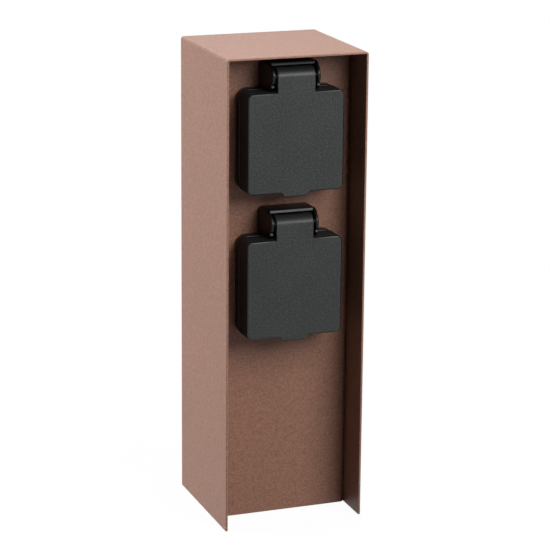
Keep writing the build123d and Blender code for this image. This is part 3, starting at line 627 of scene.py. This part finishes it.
class Build(Tree):
    # A geometry tree with named inputs, and the points it grows on
    def __init__(self, name, **labels):
        super().__init__(bpy.data.node_groups.new(name, "GeometryNodeTree"))
        face = self.nodeTree.interface
        face.new_socket("Geometry", in_out="INPUT", socket_type="NodeSocketGeometry")
        face.new_socket("Geometry", in_out="OUTPUT", socket_type="NodeSocketGeometry")
        self.names = {}
        for label, kind in {**labels, "finish": "Material"}.items():
            socket = face.new_socket(label, in_out="INPUT", socket_type="NodeSocket" + kind)
            self.names[label] = socket.identifier
        self.source = self.nodeTree.nodes.new("NodeGroupInput")
        self.sink = self.nodeTree.nodes.new("NodeGroupOutput")

    def given(self, *labels):
        values = [Value(self, self.source.outputs[label]) for label in labels]
        return values if len(values) > 1 else values[0]

    def shape(self, kind, **inputs):
        return self.add(kind, {}, inputs)

    def spot(self):
        return self.split(self.add("GeometryNodeInputPosition"))

    def move(self, geometry, x, y, z):
        inputs = {"Geometry": geometry, "Position": self.combine(x, y, z)}
        return self.add("GeometryNodeSetPosition", {}, inputs)

    def rounded(self, curve, radius, steps):
        inputs = {"Curve": curve, "Radius": radius, "Count": steps}
        return self.add("GeometryNodeFilletCurve", {"mode": "POLY"}, inputs)

    def join(self, *parts):
        node = self.nodeTree.nodes.new("GeometryNodeJoinGeometry")
        for part in parts:
            self.nodeTree.links.new(part.socket, node.inputs[0])
        return Value(self, node.outputs[0])

    def standOnPoints(self, shape, spin=None):
        # Each point's "turn" holds its angles, and spin turns the shape about its own axis
        turn = self.add("GeometryNodeInputNamedAttribute", {"data_type": "FLOAT_VECTOR"}, {"Name": "turn"})
        turn = self.add("FunctionNodeEulerToRotation", {}, {"Euler": turn})
        if spin:
            own = self.add("FunctionNodeEulerToRotation", {}, {"Euler": self.combine(0.0, 0.0, spin)})
            settings = {"rotation_space": "LOCAL"}
            turn = self.add("FunctionNodeRotateRotation", settings, {"Rotation": turn, "Rotate By": own})
        inputs = {"Points": self.given("Geometry"), "Instance": shape, "Rotation": turn}
        return self.add("GeometryNodeInstanceOnPoints", {}, inputs)

    def close(self, geometry):
        whole = self.add("GeometryNodeRealizeInstances", {}, {"Geometry": geometry})
        whole = self.add("GeometryNodeSetMaterial", {}, {"Geometry": whole, "Material": self.given("finish")})
        self.nodeTree.links.new(whole.socket, self.sink.inputs[0])
        return self


def grow(build, name, slotName, points, turns, values):
    # Runs a tree on loose points and keeps the plain mesh
    mesh = bpy.data.meshes.new(name)
    mesh.from_pydata(points, [], [])
    turn = mesh.attributes.new("turn", "FLOAT_VECTOR", "POINT")
    turn.data.foreach_set("vector", [angle for each in turns for angle in each])
    obj = newObject(name, mesh)
    modifier = obj.modifiers.new(name, "NODES")
    modifier.node_group = build.nodeTree
    for label, value in {**values, "finish": finishes[slotName]}.items():
        modifier[build.names[label]] = value
    return bake(obj)


def foldedSheetTree():
    # A strip of sheet folded down at both sides, with its front and back edges rounded
    build = Build(
        "foldedSheet", halfWidth="Float", height="Float", depth="Float", sheet="Float", bend="Float",
        rim="Float", steps="Int",
    )
    sheet, depth, rim, steps = build.given("sheet", "depth", "rim", "steps")
    side, top = build.given("halfWidth") - sheet * 0.5, build.given("height") - sheet * 0.5
    # The section's four corners: up one side, across the top and down the other
    line = build.shape("GeometryNodeMeshLine", Count=4)
    corner = build.add("GeometryNodeInputIndex")
    line = build.move(line, side * ((corner > 1.5) * 2 - 1), top * (corner > 0.5) * (corner < 2.5), 0.0)
    path = build.shape("GeometryNodeMeshToCurve", Mesh=line)
    path = build.rounded(path, build.given("bend") - sheet * 0.5, steps)
    strip = build.shape("GeometryNodeCurvePrimitiveQuadrilateral", Width=sheet, Height=depth)
    strip = build.rounded(strip, rim, steps)
    inputs = {"Curve": path, "Profile Curve": strip, "Fill Caps": True}
    hood = build.add("GeometryNodeCurveToMesh", {}, inputs)
    x, y, z = build.spot()
    hood = build.move(hood, x, -z, y)
    x, y, z = build.spot()
    # Marks the front and back rims as edges, which the coat paints paler, partly as wear and partly as a
    # painted highlight
    wearAndHighlight = ((build.math("ABSOLUTE", y) - depth * 0.5) / rim + 1).clamp()
    hood = build.add("GeometryNodeStoreNamedAttribute", {"data_type": "FLOAT", "domain": "POINT"}, {
        "Geometry": hood, "Name": "edge", "Value": wearAndHighlight})
    return build.close(build.standOnPoints(hood))


screwForm = {
    # Shares of the head's and the shank's own sizes, and how finely both are divided
    "armWidth": 0.27, "recessDepth": 0.62, "recessTaper": 0.35, "tip": 0.6,
    "headSides": 32, "headRings": 22, "shankSides": 18, "stepsPerTurn": 6,
}


def panScrewTree():
    # A crosshead screw with a pan head, which stands on the point with its shank below along local Z
    build = Build(
        "panScrews", headRadius="Float", headHeight="Float", shankRadius="Float", shankLength="Float",
        pitch="Float", thread="Float", recess="Float", seed="Int",
    )
    headRadius, headHeight, recess = build.given("headRadius", "headHeight", "recess")
    inputs = {"Segments": screwForm["headSides"], "Rings": screwForm["headRings"], "Radius": 1.0}
    ball = build.add("GeometryNodeMeshUVSphere", {}, inputs)
    # The ball's upper half swells to a fuller crown, and its lower half is pressed flat
    x, y, z = build.spot()
    square, lifted = x * x + y * y, z > 0.0
    swell = lifted * (square * square + z * z * z * z) ** -0.25 + (1 - lifted)
    rise = build.math("MAXIMUM", z * swell, 0.0)
    head = build.move(ball, x * swell * headRadius, y * swell * headRadius, rise * headHeight)
    arms = []
    narrow, depth = recess * screwForm["armWidth"], headHeight * screwForm["recessDepth"]
    for sizeX, sizeY in ((recess, narrow), (narrow, recess)):
        bar = build.shape("GeometryNodeMeshCube", Size=build.combine(sizeX, sizeY, depth * 2))
        x, y, z = build.spot()
        taper = 1 + z / depth * screwForm["recessTaper"]
        arms.append(build.move(bar, x * taper, y * taper, z + headHeight))
    inputs = {"Mesh 1": head, "Mesh 2": build.join(*arms), "Self Intersection": True}
    head = build.add("GeometryNodeMeshBoolean", {"operation": "DIFFERENCE", "solver": "EXACT"}, inputs)
    # The shank's thread winds inwards from its full size, and its end is tapered
    radius, length, pitch, thread = build.given("shankRadius", "shankLength", "pitch", "thread")
    bar = build.add("GeometryNodeMeshCylinder", {}, {
        "Vertices": screwForm["shankSides"], "Side Segments": length / pitch * screwForm["stepsPerTurn"],
        "Radius": 1.0, "Depth": length})
    x, y, z = build.spot()
    winding = (z / pitch - build.math("ARCTAN2", y, x) / (2 * math.pi)) * (2 * math.pi)
    tip = ((z + length * 0.5) / radius).clamp() * (1 - screwForm["tip"]) + screwForm["tip"]
    reach = (radius - thread * (0.5 - build.math("COSINE", winding) * 0.5)) * tip
    shank = build.move(bar, x * reach, y * reach, z - length * 0.5)
    # Set to floats, Random Value takes its range at inputs 2 and 3 and gives output 1
    spin = build.add("FunctionNodeRandomValue", {"data_type": "FLOAT"}, {
        2: 0.0, 3: 2 * math.pi, "Seed": build.given("seed")}, 1)
    return build.close(build.standOnPoints(build.join(head, shank), spin))


def coilTree():
    # Wire wound about local Z, with straight legs that leave along the turns
    build = Build(
        "woundWire", coilRadius="Float", wireRadius="Float", pitch="Float", turns="Float", hand="Float",
        legIn="Float", legOut="Float", steps="Int", sides="Int",
    )
    radius, pitch, turns = build.given("coilRadius", "pitch", "turns")
    around = radius * (2 * math.pi)
    before, after = build.given("legIn") / around, build.given("legOut") / around
    whole = turns + before + after
    count = build.math("FLOOR", whole * build.given("steps")) + 1
    line = build.shape("GeometryNodeMeshLine", Count=count)
    along = build.add("GeometryNodeInputIndex") / (count - 1) * whole - before
    wound = build.math("MINIMUM", build.math("MAXIMUM", along, 0.0), turns)
    straight, angle = (along - wound) * around, wound * (2 * math.pi)
    cosine, sine = build.math("COSINE", angle), build.math("SINE", angle)
    across = (sine * radius + cosine * straight) * build.given("hand")
    line = build.move(line, cosine * radius - sine * straight, across, along * pitch)
    path = build.shape("GeometryNodeMeshToCurve", Mesh=line)
    ring = build.shape(
        "GeometryNodeCurvePrimitiveCircle", Resolution=build.given("sides"), Radius=build.given("wireRadius")
    )
    inputs = {"Curve": path, "Profile Curve": ring, "Fill Caps": True}
    return build.close(build.standOnPoints(build.add("GeometryNodeCurveToMesh", {}, inputs)))


foldedSheet, panScrews, woundWire = foldedSheetTree(), panScrewTree(), coilTree()
print("trees built")


# Post

def foldedHood():
    sizes = {key: post[key] for key in ("halfWidth", "height", "sheet", "bend", "rim", "steps")}
    sizes["depth"] = post["halfDepth"] * 2
    obj = grow(foldedSheet, "foldedHood", "powder_coat", [(0, 0, 0)], [(0, 0, 0)], sizes)
    return place(softenEdges(obj), "post", "powder_coat", nodes=["post_hood"])


def dressed(node, name, slotName, body="post", width=0.2 * mm, material=None, segments=2):
    return place(softenEdges(cleanCopy(node, name), width, segments), body, slotName, material, [node])


foldedHood()
dressed("front_panel", "panelChannel", "powder_coat", width=0.3 * mm)
dressed("rear_cover", "rearCoverPlate", "powder_coat", width=0.35 * mm, segments=3)
dressed("base_plate", "basePlate", "zinc", width=0.3 * mm)
dressed("cable_grommet", "cableBush", "rubber", width=0.25 * mm)
print("post made")


# Sockets

hingeRoof = {
    # The roof over the hinge ends bluntly: what is cut off, by its reach from the panel and its height, in mm
    "cut": [(15.775, 53.5), (16.73, 51.13), (19.0, 51.13), (19.0, 53.5)],
    "half": 15.35 * mm, "round": 0.35 * mm,
}


def socketHousing(which, height):
    obj = cleanCopy(which + "_housing", which + "Housing")
    outline = [(post["panelFace"] - reach * mm, height + rise * mm) for reach, rise in hingeRoof["cut"]]
    cutter = prism("roofCutter", outline, hingeRoof["half"])
    cut = obj.modifiers.new("cut", "BOOLEAN")
    cut.object, cut.operation, cut.solver = cutter, "DIFFERENCE", "EXACT"
    bake(obj)
    bpy.data.objects.remove(cutter)
    softenEdges(obj, hingeRoof["round"])
    return place(obj, "post", "black_plastic", nodes=[which + "_housing"])


def socketPieces(which, height):
    body, grained = which + "_lid", finishes[which + "Lid"]
    socketHousing(which, height)
    dressed(which + "_lid", which + "LidShell", "black_plastic", body, width=0.22 * mm, material=grained)
    dressed(which + "_lid_seal", which + "LidSeal", "rubber", body, width=0.5 * mm, segments=3)
    dressed(which + "_flange_gasket", which + "FlangeGasket", "rubber", width=0.15 * mm)
    dressed(which + "_insert", which + "PlugWell", "insert_plastic", width=0.2 * mm)
    dressed(which + "_earth_contact", which + "EarthClip", "brass", width=0.12 * mm)
    dressed(which + "_hinge_pin", which + "HingePin", "steel", width=0.2 * mm)


for which, height in socketHeights.items():
    socketPieces(which, height)
print("sockets made")


# Screws and springs

m3Screw = {
    "headRadius": 2.7 * mm, "headHeight": 1.6 * mm, "shankRadius": 1.5 * mm,
    "pitch": 0.5 * mm, "thread": 0.28 * mm, "recess": 2.9 * mm,
}
coverScrew = {
    "headRadius": 3.8 * mm, "headHeight": 2.2 * mm, "shankRadius": 2.0 * mm, "shankLength": 6.2 * mm,
    "pitch": 0.7 * mm, "thread": 0.4 * mm, "recess": 4.3 * mm,
}
flangeScrew = {
    "headRadius": 3.2 * mm, "headHeight": 2.3 * mm, "shankRadius": 1.75 * mm, "shankLength": 12.5 * mm,
    "pitch": 0.6 * mm, "thread": 0.34 * mm, "recess": 3.6 * mm,
}
facing = {"back": (-90, 0, 0), "front": (90, 0, 0), "left": (0, -90, 0), "right": (0, 90, 0), "up": (0, 0, 0)}
grids = {
    # Places in mm: the flange's and the carrier's heights are from their socket's middle
    "cover": {"x": (-40, 40), "y": 45.5, "z": (25, 163, 301), "faces": "back"},
    "flange": {"x": (-27, 27), "y": -26.5, "z": (-27, 27), "faces": "front"},
    "box": {"x": (-28, 28), "y": 11.2, "z": (59, 97), "faces": "back"},
    "carrier": {"x": (-12, 12), "y": 6.2, "z": (-13.5,), "faces": "back"},
}
# The clamp screws of one socket: one at each side and one on top
clamps = [(-13.5, 12.2, 0, "left"), (13.5, 12.2, 0, "right"), (0, 11.2, 16, "up")]
levels = [height / mm for height in socketHeights.values()]


def spread(grid, middles=(0,)):
    # A grid's places, once about each of the middle heights
    return [
        (x, grid["y"], middle + z, grid["faces"])
        for middle in middles for x in grid["x"] for z in grid["z"]
    ]


def screws(node, name, settings, seats, seed):
    # seats: (x, y, z) in mm, and the way the head faces
    points = [[part * mm for part in seat[:3]] for seat in seats]
    turns = [[math.radians(angle) for angle in facing[seat[3]]] for seat in seats]
    obj = grow(panScrews, name, "steel", points, turns, {**settings, "seed": seed})
    return place(softenEdges(obj), "post", "steel", nodes=[node])


boxScrew, carrierScrew, clampScrew = [
    {**m3Screw, "shankLength": length * mm} for length in (17.5, 23.7, 2.8)
]
screws("rear_cover_screws", "coverScrews", coverScrew, spread(grids["cover"]), seed=3)
screws("socket_fixing_screws", "flangeScrews", flangeScrew, spread(grids["flange"], levels), seed=8)
screws("junction_lid_screws", "boxLidScrews", boxScrew, spread(grids["box"]), seed=5)
screws("contact_carrier_screws", "carrierScrews", carrierScrew, spread(grids["carrier"], levels), seed=6)
screws("socket_terminal_screws", "clampScrews", clampScrew,
       [(x, y, level + z, faces) for level in levels for x, y, z, faces in clamps], seed=7)

lidCoil = {
    "coilRadius": 3.1 * mm, "wireRadius": 0.45 * mm, "pitch": 1.5 * mm, "turns": 6.25, "hand": -1.0,
    "legIn": 10.3 * mm, "legOut": 2.9 * mm, "steps": 32, "sides": 12,
}
shutterCoil = {
    "coilRadius": 0.9 * mm, "wireRadius": 0.175 * mm, "pitch": 1.19375 * mm, "turns": 8.0, "hand": 1.0,
    "legIn": 0.0, "legOut": 0.0, "steps": 28, "sides": 10,
}
springSeats = {
    # The hinge's axis and the shutter spring's two ends, by depth and by height above the socket's middle
    "hinge": (-39.3 * mm, 44.2 * mm), "shutterDepth": -13.05 * mm, "foot": 3.825 * mm, "top": 13.55 * mm,
    "pressedTo": 0.39,
}


def lidSpring(which, height):
    # It turns with the lid at its outer end
    half = lidCoil["pitch"] * lidCoil["turns"] / 2
    depth, rise = springSeats["hinge"]
    start, end = [(x, depth, height + rise) for x in (-half, half)]
    spring = grow(woundWire, which + "LidSpring", "spring_steel", [start], [(0, math.pi / 2, 0)], lidCoil)
    place(softenEdges(spring), None, "spring_steel", nodes=[which + "_lid_spring"])
    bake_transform(spring, "post", which + "_lid", start=start, end=end)


def shutterSpring(which, height):
    # It stands on its foot and is fixed to the post, with a mesh of its own
    foot, top = [(0, springSeats["shutterDepth"], height + springSeats[tip]) for tip in ("foot", "top")]
    spring = grow(woundWire, which + "ShutterSpring", "spring_steel", [foot], [(0, 0, 0)], shutterCoil)
    place(softenEdges(spring), "post", "spring_steel", nodes=[which + "_shutter_spring"])
    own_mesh(spring)


for which, height in socketHeights.items():
    lidSpring(which, height)
    shutterSpring(which, height)
print("screws and springs made")


# The other CAD nodes keep their mesh and get their finish

def dressRest():
    slots = {item["node"]: item["material_slot"] for item in frame["record"]["subparts"]}
    for name, node in frame["nodes"].items():
        if not node.hide_render:
            node.data.materials.clear()
            node.data.materials.append(finishes[slots[name]])


dressRest()
print("other nodes finished")


# Stage, light and camera

def paleStage():
    mesh = bpy.data.meshes.new("floorPlane")
    half = stage["floorHalf"]
    corners = [(-half, -half, 0), (half, -half, 0), (half, half, 0), (-half, half, 0)]
    mesh.from_pydata(corners, [], [(0, 1, 2, 3)])
    floor = newObject("floorPlane", mesh)
    mesh.materials.append(plainFloor())
    world = bpy.data.worlds.new("studio")
    bpy.context.scene.world = world
    world.use_nodes = True
    tree = Tree(world.node_tree)
    world.node_tree.nodes.clear()
    tree.add("ShaderNodeLightPath")
    rays = [tree.output("Is %s Ray" % kind) for kind in ("Camera", "Transmission", "Glossy")]
    strength = rays[0] + rays[1] + rays[2] * stage["glossySky"]
    sky = tree.add("ShaderNodeBackground", {}, {"Color": color(1, 1, 1), "Strength": strength})
    tree.add("ShaderNodeOutputWorld", {}, {"Surface": sky})


lampsAim = (0, 0, 0.18)
lamps = {
    "sideSoftbox": {"at": (-1.5, 0.6, 0.75), "size": (0.9, 1.1), "power": 35.0},
    "topSoftbox": {"at": (-0.1, 1.0, 1.5), "size": (1.4, 1.2), "power": 16.0},
    "frontSoftbox": {"at": (0.43, -0.72, 0.83), "size": (0.72, 0.84), "power": 15.8, "for": "diffuse"},
    "glintStrip": {"at": (0.60, -1.65, 1.05), "size": (0.9, 0.55), "power": 17.0, "for": "glossy"},
    "backFill": {"at": (1.5, 0.9, 0.7), "size": (0.9, 0.9), "power": 10.0},
}


def studioLamps():
    for name, lamp in lamps.items():
        light = bpy.data.lights.new(name, "AREA")
        light.shape = "RECTANGLE"
        light.size, light.size_y = lamp["size"]
        light.energy = lamp["power"]
        obj = bpy.data.objects.new(name, light)
        bpy.context.scene.collection.objects.link(obj)
        obj.location = lamp["at"]
        # The front softbox shows in no reflection: a strip gives the rims their glint instead
        obj.visible_glossy = lamp.get("for") != "diffuse"
        obj.visible_diffuse = lamp.get("for") != "glossy"
        obj.rotation_euler = (Vector(lampsAim) - obj.location).to_track_quat("-Z", "Y").to_euler()


viewpoint = {
    "at": (-0.534602, -1.435379, 0.588938), "lens": 149.47, "sensor": 36, "near": 0.05, "far": 50,
    "yaw": 20.5215, "pitch": 15.4311, "roll": 0.5080,
}


def photoCamera():
    data = bpy.data.cameras.new("photoCamera")
    data.lens = viewpoint["lens"]
    data.sensor_width = viewpoint["sensor"]
    data.clip_start, data.clip_end = viewpoint["near"], viewpoint["far"]
    yaw, pitch, roll = [math.radians(viewpoint[key]) for key in ("yaw", "pitch", "roll")]
    ahead = Vector((math.sin(yaw) * math.cos(pitch), math.cos(yaw) * math.cos(pitch), -math.sin(pitch)))
    right = Vector((math.cos(yaw), -math.sin(yaw), 0))
    up = right.cross(ahead)
    right, up = right * math.cos(roll) + up * math.sin(roll), up * math.cos(roll) - right * math.sin(roll)
    turn = Matrix((right, up, -ahead)).transposed().to_4x4()
    camera = bpy.data.objects.new("photoCamera", data)
    bpy.context.scene.collection.objects.link(camera)
    camera.matrix_world = Matrix.Translation(viewpoint["at"]) @ turn
    bpy.context.scene.camera = camera


paleStage()
studioLamps()
photoCamera()
bpy.context.scene.view_settings.view_transform = "Standard"
print("stage ready")
